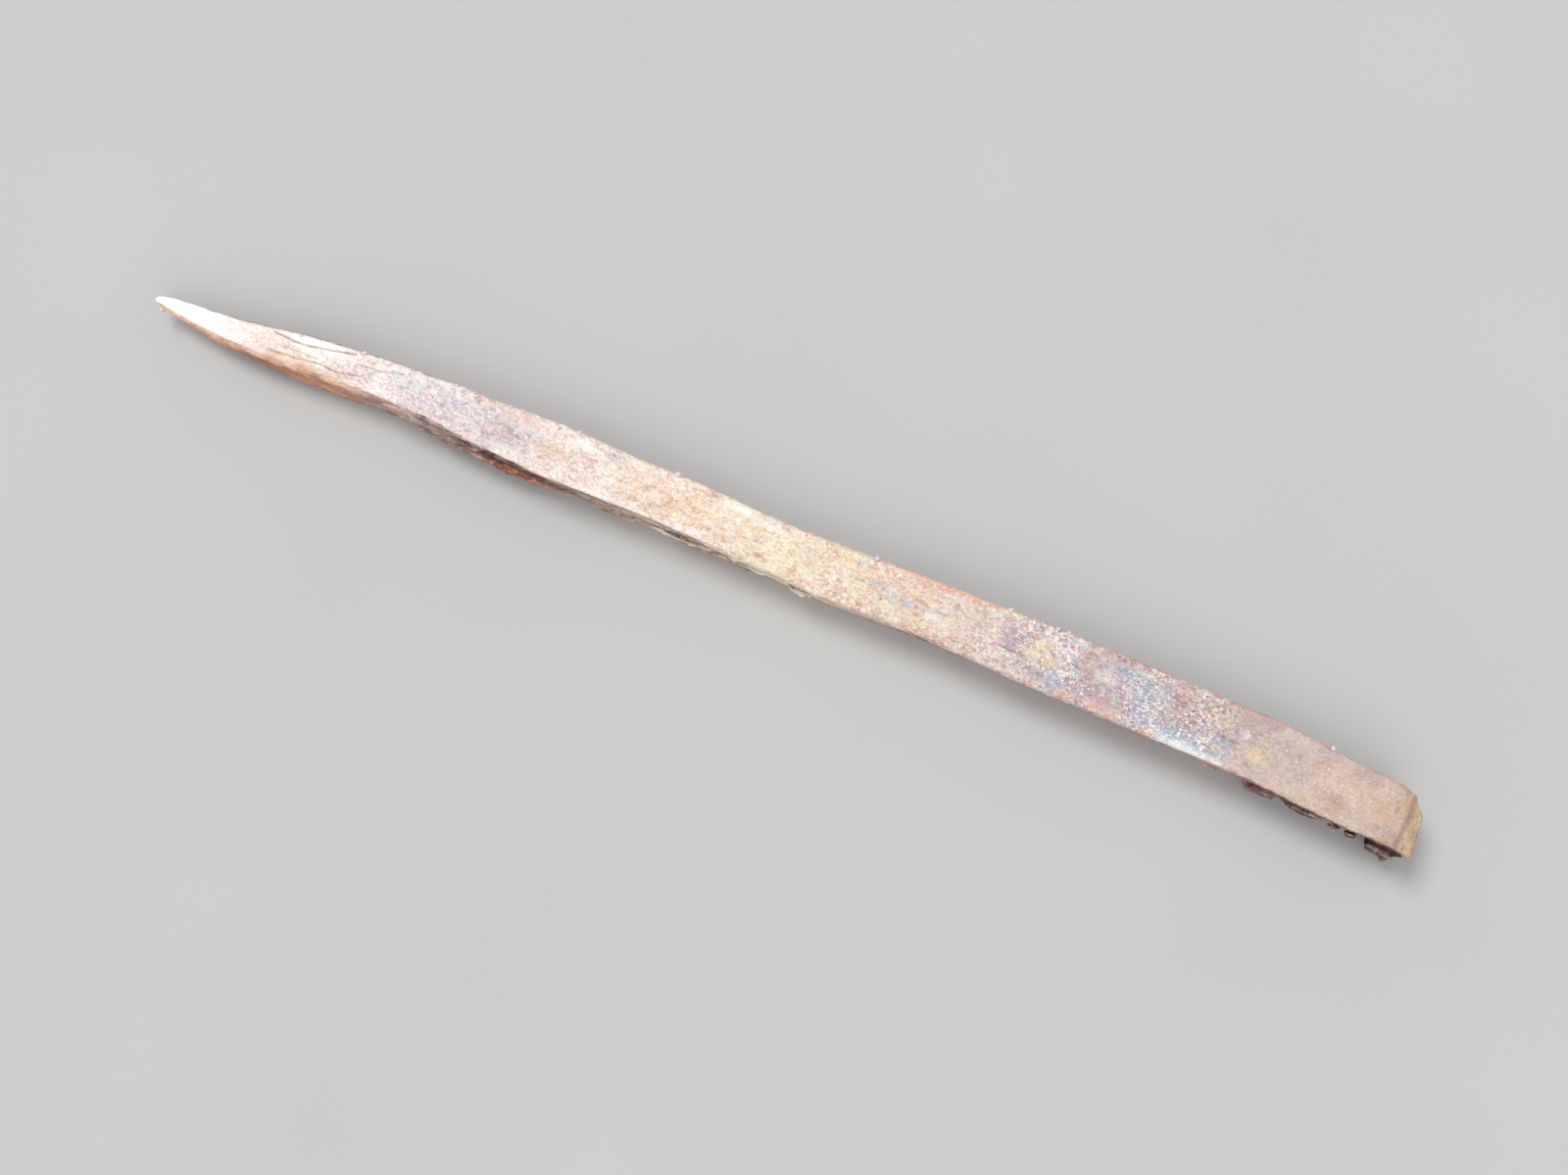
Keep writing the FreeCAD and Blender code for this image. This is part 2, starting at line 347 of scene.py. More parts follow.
def stains(co, spots, top, seed):
    """Soft, uneven spots on the top face."""
    total = np.zeros(len(co))
    for x, y, half_length, half_width, strength in spots:
        far = ((co[:, 0] - x) / half_length) ** 2 + ((co[:, 1] - y) / half_width) ** 2
        total = np.maximum(total, strength * np.exp(-0.6 * far))
    return top * total * (1.0 + 0.5 * fractal(co, 2.2, seed, 2))


# How far the front edge of the top stands out over the rusted front: x and the overhang.
OVERHANGS = [
    (-84.0, 0.0), (-66.0, 0.6), (-44.0, 0.55), (-25.0, 0.25), (5.0, 0.1), (45.0, 0.25),
    (75.0, 0.5), (96.0, 0.4), (110.0, 0.5), (122.0, 1.0), (127.0, 1.1),
]

FOLD_REACH = 0.9    # the squares of the top are made finer this close to a fold


def refine_near_folds(piece):
    """Make the top's squares smaller beside the folds, to keep the folds crisp."""
    work = bmesh.new()
    work.from_mesh(piece.data)
    work.faces.ensure_lookup_table()
    centres = np.array([face.calc_center_median()[:] for face in work.faces]) / MM
    upward = np.array([face.normal.z for face in work.faces]) > 0.5
    near = np.zeros(len(centres), bool)
    for fold in FOLDS:
        near |= upward & (distance_to_line(centres, fold[0])[0] < FOLD_REACH)
    edges = {edge for i in np.flatnonzero(near) for edge in work.faces[i].edges}
    bmesh.ops.subdivide_edges(work, edges=list(edges), cuts=2, use_grid_fill=True)
    work.to_mesh(piece.data)
    work.free()


def below_crest(co):
    """How far each point lies under the top of its slice of the bar."""
    slices = np.floor(co[:, 0]).astype(int)
    first = slices.min()
    crest = np.full(slices.max() - first + 1, -1e9)
    np.maximum.at(crest, slices - first, co[:, 2])
    return np.interp(co[:, 0], first + 0.5 + np.arange(len(crest)), crest) - co[:, 2]


EDGE_PASSES = 26    # of smoothing on the edge between the top and the front


def wear_edge_round(piece):
    """Round the edge between the top and the front, most of all at the point."""
    mesh = piece.data
    co, normal = read_mesh(mesh)
    on_edge = np.flatnonzero((normal[:, 2] > 0.35) & (normal[:, 1] < -0.35))
    tree = KDTree(len(on_edge))
    for number, vertex in enumerate(on_edge):
        tree.insert(co[vertex], number)
    tree.balance()
    gap = np.array([tree.find(point)[2] for point in co])
    weight = 0.6 * (1.0 - smooth(0.6, 2.0, gap)) * (1.0 - 0.88 * smooth(-90.0, -62.0, co[:, 0]))
    pairs = np.empty(2 * len(mesh.edges), int)
    mesh.edges.foreach_get("vertices", pairs)
    a, b = pairs.reshape(-1, 2).T
    count = len(co)
    degree = np.bincount(a, minlength=count) + np.bincount(b, minlength=count)
    for _ in range(EDGE_PASSES):
        total = [np.bincount(a, row[b], count) + np.bincount(b, row[a], count) for row in co.T]
        co += weight[:, None] * (np.stack(total, 1) / degree[:, None] - co)
    write_mesh(mesh, co)


POINT_Y = 0.44      # the middle of the very point
POINT_Z = 4.95
POINT_RADIUS = 0.9


def dome_the_point(co):
    """The very point is worn to a small dome."""
    off_y = (co[:, 1] - POINT_Y) / POINT_RADIUS
    off_z = (co[:, 2] - POINT_Z) / POINT_RADIUS
    dome = np.maximum(0.6 - 0.8 * (off_y ** 2 + off_z ** 2), -1.2)
    co[:, 0] -= smooth(-123.5, -127.0, co[:, 0]) * dome


CORNER_CENTRE = np.array([125.1, -5.1])
CORNER_RADIUS = 1.7


def round_off_corner(co):
    """The front corner of the struck face is worn round in plan."""
    off = co[:, :2] - CORNER_CENTRE
    reach = np.linalg.norm(off, axis=1)
    outside = (off[:, 0] > 0.0) & (off[:, 1] < 0.0) & (reach > CORNER_RADIUS)
    co[outside, :2] = CORNER_CENTRE + off[outside] * (CORNER_RADIUS / reach[outside])[:, None]


FACING = (0.45, 0.85)   # a mask of a face fades in between these parts of the normal


def bar_regions(co, normal):
    """Masks from 0 to 1 over the plain bar: its faces, edges and stretches."""
    on = SimpleNamespace()
    on.x, on.y, on.z = co.T
    on.top = smooth(*FACING, normal[:, 2])
    on.front = smooth(*FACING, -normal[:, 1])
    on.foot = smooth(*FACING, -normal[:, 2])
    on.down = below_crest(co)
    on.back = smooth(0.70, 0.95, normal[:, 1]) * smooth(0.3, 1.4, on.down + 0.5 * fractal(co, 2.5, 13, 2))
    on.under = smooth(0.0, 0.35, -normal[:, 2])
    on.end = smooth(0.55, 0.9, normal[:, 0]) * smooth(120.0, 124.0, on.x)
    on.edge = 1.0 - smooth(0.80, 0.97, np.max(np.abs(normal), axis=1))
    on.frayed_x = on.x + 12.0 * fractal(co, 6.0, 17, 3)
    on.point = 1.0 - smooth(-96.0, -78.0, on.x)
    tip_end = FACET_X - 4.0 + 2.6 * smooth(2.0, -2.0, on.y) + 0.9 * fractal(co, 2.0, 15, 2)
    on.tip = (1.0 - smooth(tip_end - 0.4, tip_end + 0.4, on.x)) * on.top
    beyond_rim = on.x - (RIM_X + 0.05 * on.y + 1.0 * fractal(co, 4.0, 75, 3))
    on.rim = np.maximum(on.end, on.top * smooth(-0.3, 0.6, beyond_rim))
    # crease: the groove where the bevel starts, brown with painted shade.
    on.crease = on.top * bell(beyond_rim, 0.0, 0.5)
    return on


def dents(co, normal, on):
    """Hammer waves, lumps, sand, nicks in the edges and a step in the back."""
    hammered = 0.20 * fractal(co, 15.0, 11, 2)
    lumps = 0.14 * fractal(co, 4.5, 21, 3)
    sand = 0.09 * fractal(co, 1.5, 31, 2) + 0.15 * grains(co, 1.2, 41, 0.5) * (1.0 - 0.6 * on.point)
    nicks = -0.30 * on.edge * smooth(0.05, 0.7, fractal(co, 2.0, 51, 2)) * (1.0 - 0.5 * on.point)
    step = -0.25 * smooth(*FACING, normal[:, 1]) * between(on.x, 105.8, 106.6, 112.0, 118.0)
    # cavity: the low spots of the lumps and the sand, which get painted shade.
    on.cavity = smooth(0.02, 0.16, -(lumps + sand))
    return (hammered * (1.0 - 0.7 * on.foot) + lumps + sand) * (1.0 - 0.8 * on.tip) + nicks + step


def rust_ledges(co, on):
    """Layered rust on the front and the back: long plates that end in ledges."""
    before_middle = smooth(-88.0, -76.0, on.frayed_x) * (1.0 - smooth(-10.0, 8.0, on.x))
    on.layered = on.front * (before_middle + smooth(90.0, 97.0, on.x))
    stretched = co * np.array([0.22, 1.0, 1.0])
    on.ledges = terraces(0.5 + 0.5 * fractal(stretched, 2.4, 61, 3), 5)
    others = np.clip(np.maximum(on.front, on.back) * (1.0 - on.point) - on.layered, 0.0, 1.0)
    low_ledges = terraces(0.5 + 0.5 * fractal(stretched, 3.0, 71, 3), 4)
    return on.layered * 0.75 * (on.ledges - 0.65) + others * 0.30 * (low_ledges - 0.6)


def folds_and_cracks(co, on):
    """Grooves along the folds, each with a raised lip at the back of it."""
    uneven = 1.0 + 0.4 * fractal(co, 2.0, 77, 2)
    broken = 0.6 + 0.6 * fractal(co, 1.5, 78, 2)
    push = np.zeros(len(co))
    on.cracks = np.zeros(len(co))
    for line, width, depth, lip_height in FOLDS:
        gap, side = distance_to_line(co, line)
        groove = on.top * bell(gap, 0.0, width * uneven)
        lip = on.top * bell(gap, 0.5, 0.5) * (side > 0)
        push += lip_height * lip - depth * groove
        on.cracks = np.maximum(on.cracks, groove * broken)
    return push


def bare_lens(co, on):
    """The bare, smooth lens behind the first fold."""
    gap, side = distance_to_line(co, FOLDS[0][0])
    return on.top * (side > 0) * smooth(0.1, 0.45, gap) * between(on.x, -103.0, -99.5, -91.0, -86.5)


def hang_over_front(co, on):
    """The top's front edge stands out over the rusted front."""
    overhang = np.interp(on.x, *zip(*OVERHANGS)) * (1.0 - smooth(0.8, 3.0, on.down))
    co[:, 1] -= overhang * smooth(-0.3, -2.0, on.y)


def flatten_tip(co):
    """Cut the last flat on the very point."""
    facet = FACET_Z + FACET_SLOPE_X * (co[:, 0] - FACET_X) + FACET_SLOPE_Y * co[:, 1]
    on_facet = (co[:, 0] < FACET_X) & (co[:, 2] > facet)
    co[:, 2] = np.where(on_facet, facet, co[:, 2])


def paint_sides(mesh, co, on):
    """Masks for the front, the back, the foot and the peach of the point."""
    below_fold = smooth(0.8, -1.2, on.y) * between(on.frayed_x, -112.0, -98.0, -89.0, -77.0)
    cream = on.front * between(on.frayed_x, -40.0, -5.0, 72.0, 98.0)
    cream *= smooth(1.0, 5.5, on.z + 2.5 * fractal(co, 4.0, 19, 3))
    paint(mesh, "sides", np.maximum(np.maximum(on.front - cream, on.back), on.under))
    peach = np.maximum(on.front, 0.75 * below_fold * on.top)
    paint(mesh, "peach", peach * (1.0 - smooth(-90.0, -77.0, on.frayed_x)))
    paint(mesh, "deep", np.maximum(smooth(0.2, 3.0, on.down), 0.5 * smooth(-0.6, -2.6, on.y) * below_fold))
    # Painted shade: the back and the underside, turned away from the light, are darkened in the materials.
    paint(mesh, "turned_away_shade", np.maximum(on.back, on.under * (1.0 - on.front)))
    shoulder = on.front * smooth(5.5, 8.5, on.z + 1.5 * fractal(co, 3.0, 79, 3))
    paint(mesh, "shoulder", shoulder * (1.0 - smooth(88.0, 96.0, on.x)))


def paint_top(mesh, co, normal, on):
    """Masks for the top, its back edge, its stains and the struck end."""
    paint(mesh, "back_edge", smooth(0.25, 0.7, normal[:, 1]) * (1.0 - on.back) * smooth(-60.0, 30.0, on.x))
    paint(mesh, "tip", np.maximum(on.tip, 0.85 * on.lens))
    paint(mesh, "quiet", smooth(84.0, 98.0, on.frayed_x) + 0.6 * (1.0 - smooth(-106.0, -92.0, on.frayed_x)))
    clusters = smooth(-0.45, 0.25, fractal(co, 9.0, 83, 3))
    speckle = on.top * (0.45 + 0.55 * smooth(36.0, 60.0, on.x) - smooth(80.0, 92.0, on.x))
    paint(mesh, "speckle", speckle * clusters)
    for seed, (name, spots) in enumerate(TINTS.items()):
        paint(mesh, name, stains(co, spots, smooth(0.15, 0.6, normal[:, 2]), 80 + seed))


def weather_bar(piece):
    """Wear the bar's surface, and paint the masks for its material."""
    plain, normal = read_mesh(piece.data)
    on = bar_regions(plain, normal)
    on.lens = bare_lens(plain, on)
    push = dents(plain, normal, on) + rust_ledges(plain, on) - 0.25 * on.crease + folds_and_cracks(plain, on)
    co = plain + normal * push[:, None]
    hang_over_front(co, on)
    flatten_tip(co)
    co[:, 2] = np.maximum(co[:, 2], 0.0)
    round_off_corner(co)
    dome_the_point(co)
    write_mesh(piece.data, co)
    for name in ("layered", "ledges", "cracks", "cavity", "crease", "rim"):
        paint(piece.data, name, getattr(on, name))
    paint_sides(piece.data, co, on)
    paint_top(piece.data, co, normal, on)


# ---- layered scale, built sheet by sheet ----
def islands(node):
    """Vertices in millimetres and faces of each solid of a CAD node."""
    work = bmesh.new()
    work.from_mesh(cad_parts[node].data)
    bmesh.ops.remove_doubles(work, verts=work.verts, dist=1e-7)
    found = []
    for group in groups(work):
        number = {vertex: i for i, vertex in enumerate(group)}
        faces = {face for vertex in group for face in vertex.link_faces}
        points = np.array([vertex.co[:] for vertex in group]) / MM
        found.append((points, [[number[v] for v in face.verts] for face in faces]))
    work.free()
    return sorted(found, key=lambda item: item[0][:, 0].min())


WELL_IN_FRONT = -60.0   # y of a place in front of every plate


def plate_profile(points, faces, xs):
    """y of a plate's outer and inner face at each x, at the middle of its height."""
    tree = BVHTree.FromPolygons([tuple(p) for p in points], faces)
    z = 0.5 * (points[:, 2].min() + points[:, 2].max())
    outer = np.full(len(xs), np.nan)
    inner = np.full(len(xs), np.nan)
    ahead = Vector((0.0, 1.0, 0.0))
    for i, x in enumerate(xs):
        hit = tree.ray_cast(Vector((x, WELL_IN_FRONT, z)), ahead)[0]
        if hit is None:
            continue
        beyond = tree.ray_cast(hit + ahead * 0.01, ahead)[0]
        outer[i] = hit.y
        inner[i] = beyond.y if beyond is not None else hit.y + 0.1
    known = ~np.isnan(outer)
    return np.interp(xs, xs[known], outer[known]), np.interp(xs, xs[known], inner[known])


def ragged(xs, amount, wavelength, seed):
    """A broken edge line: 0 to amount, in chunks with small teeth."""
    points = np.stack([xs, 0.3 * xs, np.zeros(len(xs))], 1)
    chunks = terraces(0.5 + 0.5 * fractal(points, wavelength, seed, 2), 4)
    teeth = 0.5 + 0.5 * fractal(points, 0.25 * wavelength, seed + 5, 2)
    return amount * (0.55 * chunks + 0.45 * teeth)


def closed_faces(number):
    """Faces of a closed sheet whose back vertices follow the front ones, numbered here."""
    count = number.size
    columns, rows = number.shape
    faces = []
    for i in range(columns - 1):
        for j in range(rows - 1):
            a, b, c, d = number[i, j], number[i + 1, j], number[i + 1, j + 1], number[i, j + 1]
            faces.append((a, b, c, d))
            faces.append((d + count, c + count, b + count, a + count))
    loop = list(number[:, 0]) + list(number[-1, 1:]) + list(number[-2::-1, -1]) + list(number[0, -2:0:-1])
    for a, b in zip(loop, loop[1:] + loop[:1]):
        faces.append((b, a, a + count, b + count))
    return faces


def sheet_grid(xs, z_low, z_high, y_inner, y_outer, seed):
    """Vertices and faces of a closed sheet that thins out towards its edges."""
    rows = max(7, int((z_high - z_low).max() / 0.36))
    v = 0.5 - 0.5 * np.cos(np.linspace(0.0, math.pi, rows))
    u = np.linspace(0.0, 1.0, len(xs))
    x = np.repeat(xs[:, None], rows, 1)
    z = z_low[:, None] + (z_high - z_low)[:, None] * v[None, :]
    rim = np.maximum(np.abs(2.0 * v - 1.0)[None, :] ** 20, np.abs(2.0 * u - 1.0)[:, None] ** 40)
    places = np.stack([x.ravel(), np.zeros(x.size), z.ravel()], 1)
    wave = (0.34 * fractal(places, 2.0, seed, 3)).reshape(x.shape)
    wave += (0.26 * (grains(places, 1.3, seed + 3, 0.6) - 0.3)).reshape(x.shape)
    thick = (y_inner - y_outer)[:, None] * (1.0 - 0.5 * rim)
    outer = y_inner[:, None] - thick - wave
    inner = y_inner[:, None] - 0.4 * wave
    fronts = np.stack([x, outer, z], 2).reshape(-1, 3)
    backs = np.stack([x, inner, z], 2).reshape(-1, 3)
    return np.concatenate([fronts, backs]), closed_faces(np.arange(x.size).reshape(x.shape))


def warp(points, amount, seed):
    """Shift points along the front, to break up straight outlines."""
    moved = points.copy()
    moved[:, 0] += 1.5 * amount * fractal(points, 2.6, seed, 3)
    moved[:, 2] += 1.2 * amount * fractal(points, 2.6, seed + 3, 3)
    return moved


class Stack(NamedTuple):
    """How the sheets that stand in for a CAD plate lie on each other.

    drops are how much lower the nearest and the farthest sheet end, and lift how much is missing at the
    foot, as shares of the height. crevice is the gap behind a sheet, as a share of its thickness. The
    nearest sheet sinks into the bar and rises above the plate. A low power makes the outline oval.
    """

    layers: int
    seed: int
    drops: tuple = (0.0, 0.12)
    crevice: float = 0.25
    sink: float = 0.9
    rise: float = 0.0
    power: float = 5.0
    lift: float = 0.0


def sheet_outline(xs, low_z, high_z, stack, layer, lean):
    """Lower and upper edge of a sheet, broken and rounded off."""
    innermost = layer == 0
    height = high_z - low_z
    share = layer / max(stack.layers - 1, 1)
    drop = (stack.drops[0] + (stack.drops[1] - stack.drops[0]) * share) * height
    top_break = ragged(xs, (0.05 if innermost else 0.14) * height, 3.0, stack.seed + 7 * layer)
    foot_break = ragged(xs, 0.22 * height, 4.0, stack.seed + 7 * layer + 3)
    along = np.linspace(-1.0, 1.0, len(xs))
    skewed = np.abs(along + lean * (1.0 - along ** 2)).clip(0.0, 1.0)
    oval = 0.5 * height * (1.0 - (1.0 - skewed ** stack.power) ** 0.5) * 0.85
    z_high = high_z + (stack.rise if innermost else 0.0) - drop - top_break - oval
    z_low = low_z + 0.4 * drop + foot_break + oval + stack.lift * height
    return np.minimum(z_low, z_high - 0.4), z_high


def one_sheet(points, polygons, stack, layer, rng):
    """Vertices and faces of one sheet; layer 0 is the one on the bar."""
    innermost = layer == 0
    low = points.min(0)
    high = points.max(0)
    length = high[0] - low[0]
    start_trim = 0.0 if innermost else rng.uniform(0.02, 0.10) * length
    end_trim = 0.0 if innermost else rng.uniform(0.02, 0.12) * length
    xs = np.linspace(low[0] + start_trim, high[0] - end_trim, max(8, int(length / 0.25)))
    outer, inner = plate_profile(points, polygons, xs)
    depth = inner - outer
    y_outer = inner - depth * (layer + 1.0) / stack.layers
    y_inner = inner + stack.sink if innermost else inner - depth * (layer + stack.crevice) / stack.layers
    lean = rng.uniform(-0.35, 0.35)
    rng.random()    # an unused draw, which the shapes of the sheets after this one depend on
    z_low, z_high = sheet_outline(xs, low[2], high[2], stack, layer, lean)
    sheet, faces = sheet_grid(xs, z_low, z_high, y_inner, y_outer, stack.seed + 11 * layer)
    return warp(sheet, 0.8, stack.seed + 11 * layer + 5), faces


def layered_piece(node, name, stack):
    """Stacks of sheets that fill the space of a CAD plate node."""
    rng = np.random.default_rng(stack.seed)
    vertices = []
    faces = []
    for points, polygons in islands(node):
        for layer in range(stack.layers):
            sheet, sheet_faces = one_sheet(points, polygons, stack, layer, rng)
            start = sum(len(part) for part in vertices)
            faces += [tuple(start + i for i in face) for face in sheet_faces]
            vertices.append(sheet)
    mesh = bpy.data.meshes.new(name)
    mesh.from_pydata([tuple(p) for p in np.concatenate(vertices) * MM], [], faces)
    return new_piece(name, mesh)


SMALLEST_LUMP = 2.0     # shorter lumps left over by the remeshing are crumbs
# y of the line behind which the layers near the head are hidden in a crevice that gets painted shade, at
# some x.
CREVICE_X = (100.0, 106.0, 114.0, 124.0)
CREVICE_Y = (-4.9, -5.2, -5.8, -6.5)
ORANGE_EDGE_X = -52.0         # the middle of the stretch of the side with orange rust and painted highlights on its low edge, and painted shade above it
SILVER_HIGHLIGHT_X = 106.5        # the middle of the silvery stretch near the head, with a painted highlight on its upward faces


def paint_scale(mesh, co, normal, wear, seed):
    """Masks for the stains and the wear of a scale piece."""
    x, y = co.T[:2]
    # Upward faces near the head: pale, worn scale with a painted highlight.
    upward_highlight = smooth(0.1, 0.6, normal[:, 2]) * smooth(104.0, 111.0, x)
    # hidden: the layers behind the crevice line near the head, painted dark as shade.
    hidden = smooth(-0.4, 0.1, y - np.interp(x, CREVICE_X, CREVICE_Y)) * smooth(102.0, 104.0, x)
    paint(mesh, "rim", np.maximum(smooth(0.15, 0.8, wear), upward_highlight))
    low_edge = smooth(-3.2, -4.0, y + 0.5 * fractal(co, 2.0, seed + 7, 2))
    # Orange rust along the low outer edge, with painted highlights.
    paint(mesh, "orange_edge_highlight", low_edge * bell(x, ORANGE_EDGE_X, 8.0))
    # Painted shade: dark over the layers hidden in the crevice near the head, and under the top's edge
    # beside the orange stretch.
    paint(mesh, "painted_shade", hidden + smooth(-4.2, -3.2, y) * bell(x, ORANGE_EDGE_X, 15.0))
    # Dark rust with painted shade in the low spots, and painted shade over the layers hidden in the crevice.
    paint(mesh, "pit_shade", np.maximum(smooth(0.15, 0.75, -wear), hidden))
    # Painted highlight on the upward faces near the head, outside the crevice.
    paint(mesh, "bare_edge_highlight", upward_highlight * (1.0 - hidden))
    # Pale silvery scale near the head, with a painted highlight where the faces turn up.
    paint(mesh, "silver_highlight", bell(x, SILVER_HIGHLIGHT_X, 5.0) * smooth(0.2, 0.7, normal[:, 2]))


def make_rocky(piece, voxel_mm, rough_mm, seed):
    """Fuse the sheets where they touch and roughen them with lumps, ledges and pits."""
    even_out(piece, voxel_mm)
    drop_crumbs(piece.data, SMALLEST_LUMP)
    co, normal = read_mesh(piece.data)
    flat = co * np.array([0.45, 1.0, 1.0])
    wear = fractal(flat, 1.5, seed, 3) + 0.9 * (grains(co, 1.1, seed + 4, 0.6) - 0.3)
    wear += 0.6 * (terraces(0.5 + 0.5 * fractal(flat, 2.2, seed + 5, 2), 4) - 0.5)
    co = co + normal * (rough_mm * wear)[:, None]
    co[:, 2] = np.maximum(co[:, 2], 0.1)
    write_mesh(piece.data, co)
    paint(piece.data, "tone", 0.5 + 0.5 * fractal(flat, 2.6, seed + 6, 2))
    paint_scale(piece.data, co, normal, wear, seed)


def lump_piece(node, name, voxel_mm, rough_mm, seed, stretch=(0.35, 1.0, 1.0), soften=2, bend=0.0):
    """Replace a CAD node with a rounded, rough lump of the same size."""
    piece = even_out(new_piece(name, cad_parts[node].data.copy()), voxel_mm, soften)
    co, normal = read_mesh(piece.data)
    co = warp(co, bend, seed + 5)
    wear = fractal(co * np.array(stretch), 1.3, seed, 3) + 0.6 * grains(co, 0.9, seed + 1, 0.5)
    write_mesh(piece.data, co + normal * (rough_mm * wear)[:, None])
    paint(piece.data, "tone", 0.5 + 0.5 * fractal(co, 2.0, seed + 2, 2))
    paint(piece.data, "rim", smooth(0.1, 0.6, wear))
    return piece


def round_grains(mesh):
    """Pull every grain half-way to an uneven ball of its own size."""
    solids = [points for points, faces in islands("cemented_grains")]
    centres = np.array([0.5 * (points.min(0) + points.max(0)) for points in solids])
    co = read_mesh(mesh)[0]
    own = np.argmin(np.linalg.norm(co[:, None, :] - centres[None, :, :], axis=2), axis=1)
    off = co - centres[own]
    reach = np.linalg.norm(off, axis=1)
    mean = np.bincount(own, reach) / np.bincount(own)
    ball = mean[own] * (1.0 + 0.55 * fractal(co, 0.7, 741, 3))
    write_mesh(mesh, centres[own] + off * (0.45 + 0.55 * ball / reach)[:, None])


# ---- materials ----
def linear(colour):
    """sRGB as seen to the linear values that a shader takes."""
    return tuple(((c + 0.055) / 1.055) ** 2.4 if c > 0.04045 else c / 12.92 for c in colour) + (1.0,)


SPECULAR = 0.35     # rust is dull
BUMP_MM = 0.2       # height of the finest relief on iron and scale


class Nodes:
    """Short calls for building one material's node tree."""

    def __init__(self, name):
        self.material = bpy.data.materials.new(name)
        self.material.use_nodes = True
        self.tree = self.material.node_tree
        self.tree.nodes.clear()
        self.place = self.call("TexCoord", "Object", {})

    def add(self, kind, inputs, **settings):
        """A new shader node. An input is a socket, a number, a list, or a tuple: a colour as seen."""
        node = self.tree.nodes.new("ShaderNode" + kind)
        for name, value in settings.items():
            setattr(node, name, value)
        for name, value in inputs.items():
            if isinstance(value, bpy.types.NodeSocket):
                self.tree.links.new(value, node.inputs[name])
            else:
                node.inputs[name].default_value = linear(value) if isinstance(value, tuple) else value
        return node

    def call(self, kind, output, inputs, **settings):
        return self.add(kind, inputs, **settings).outputs[output]

    def noise(self, size_mm, detail=3.0, rough=0.55, along=1.0, shift=0.0, output="Fac", across=1.0):
        """Noise, drawn out along or across the spike by numbers below 1."""
        place = self.call("Mapping", 0, {
            "Vector": self.place,
            "Scale": [along, across, 1.0],
            "Location": [shift, shift * 0.7, shift * 1.3],
        })
        scale = 1.0 / (size_mm * MM)
        inputs = {"Vector": place, "Scale": scale, "Detail": detail, "Roughness": rough}
        return self.call("TexNoise", output, inputs)

    def cells(self, size_mm):
        """Distance to the middle of the nearest cell, for packed grains."""
        inputs = {"Vector": self.place, "Scale": 1.0 / (size_mm * MM)}
        return self.call("TexVoronoi", "Distance", inputs)

    def mask(self, name):
        return self.call("Attribute", "Fac", {}, attribute_name=name)

    def times(self, a, b):
        return self.call("Math", 0, {0: a, 1: b}, operation="MULTIPLY")

    def plus(self, a, b):
        return self.call("Math", 0, {0: a, 1: b}, operation="ADD")

    def add_times(self, value, factor, extra):
        """value times factor, plus extra."""
        return self.call("Math", 0, {0: value, 1: factor, 2: extra}, operation="MULTIPLY_ADD")

    def band(self, value, low, high):
        """Smooth step from 0 at low to 1 at high."""
        inputs = {"Value": value, "From Min": low, "From Max": high}
        return self.call("MapRange", "Result", inputs, interpolation_type="SMOOTHSTEP")

    def patches(self, low, high, *size_and_shape, **more):
        """Noise turned into patches by a band."""
        return self.band(self.noise(*size_and_shape, **more), low, high)

    def mix(self, share, first, second, blend="MIX"):
        inputs = {0: share, 6: first, 7: second}
        return self.call("Mix", 2, inputs, data_type="RGBA", blend_type=blend)

    def stain(self, colour, tint, mask, strength, blend="MIX"):
        """The colour with a tint over it where the mask is."""
        return self.mix(self.times(mask, strength), colour, tint, blend)

    def finish(self, colour, roughness, height, bump_mm, strength=1.0):
        bump = {"Height": height, "Distance": bump_mm * MM, "Strength": strength}
        shader = self.call("BsdfPrincipled", 0, {
            "Base Color": colour,
            "Roughness": roughness,
            "Specular IOR Level": SPECULAR,
            "Normal": self.call("Bump", 0, bump),
        })
        self.add("OutputMaterial", {"Surface": shader})
        return self.material


# Colours along the spike, from the point to the head: x in millimetres and the colour as seen.
# The top's colours also carry a painted fall-off of light: palest at the point, darker towards the head.
TOP_COLOURS_WITH_PAINTED_FALLOFF = [
    (-127, (0.98, 0.97, 0.95)), (-110, (0.98, 0.95, 0.92)),
    (-104, (0.97, 0.93, 0.90)), (-80, (0.95, 0.91, 0.90)),
    (-62, (0.88, 0.84, 0.84)), (-40, (0.94, 0.87, 0.825)),
    (0, (0.93, 0.875, 0.79)), (30, (0.895, 0.825, 0.765)),
    (50, (0.805, 0.745, 0.73)), (70, (0.77, 0.715, 0.71)),
    (90, (0.785, 0.715, 0.685)), (118, (0.80, 0.73, 0.67)),
    (127, (0.70, 0.60, 0.52)),
]

# The sides darken around x -60 to -46 and from x 88 to the head: darker rust, and painted shade under the
# top's edge.
SIDE_COLOURS = [
    (-127, (0.84, 0.62, 0.48)), (-100, (0.78, 0.58, 0.48)),
    (-84, (0.83, 0.72, 0.67)), (-72, (0.81, 0.71, 0.67)),
    (-60, (0.76, 0.64, 0.59)), (-46, (0.74, 0.58, 0.50)),
    (-36, (0.86, 0.76, 0.68)), (-20, (0.93, 0.86, 0.79)),
    (0, (0.91, 0.84, 0.77)), (60, (0.76, 0.65, 0.61)),
    (88, (0.68, 0.56, 0.52)), (100, (0.55, 0.42, 0.40)),
    (127, (0.55, 0.43, 0.39)),
]

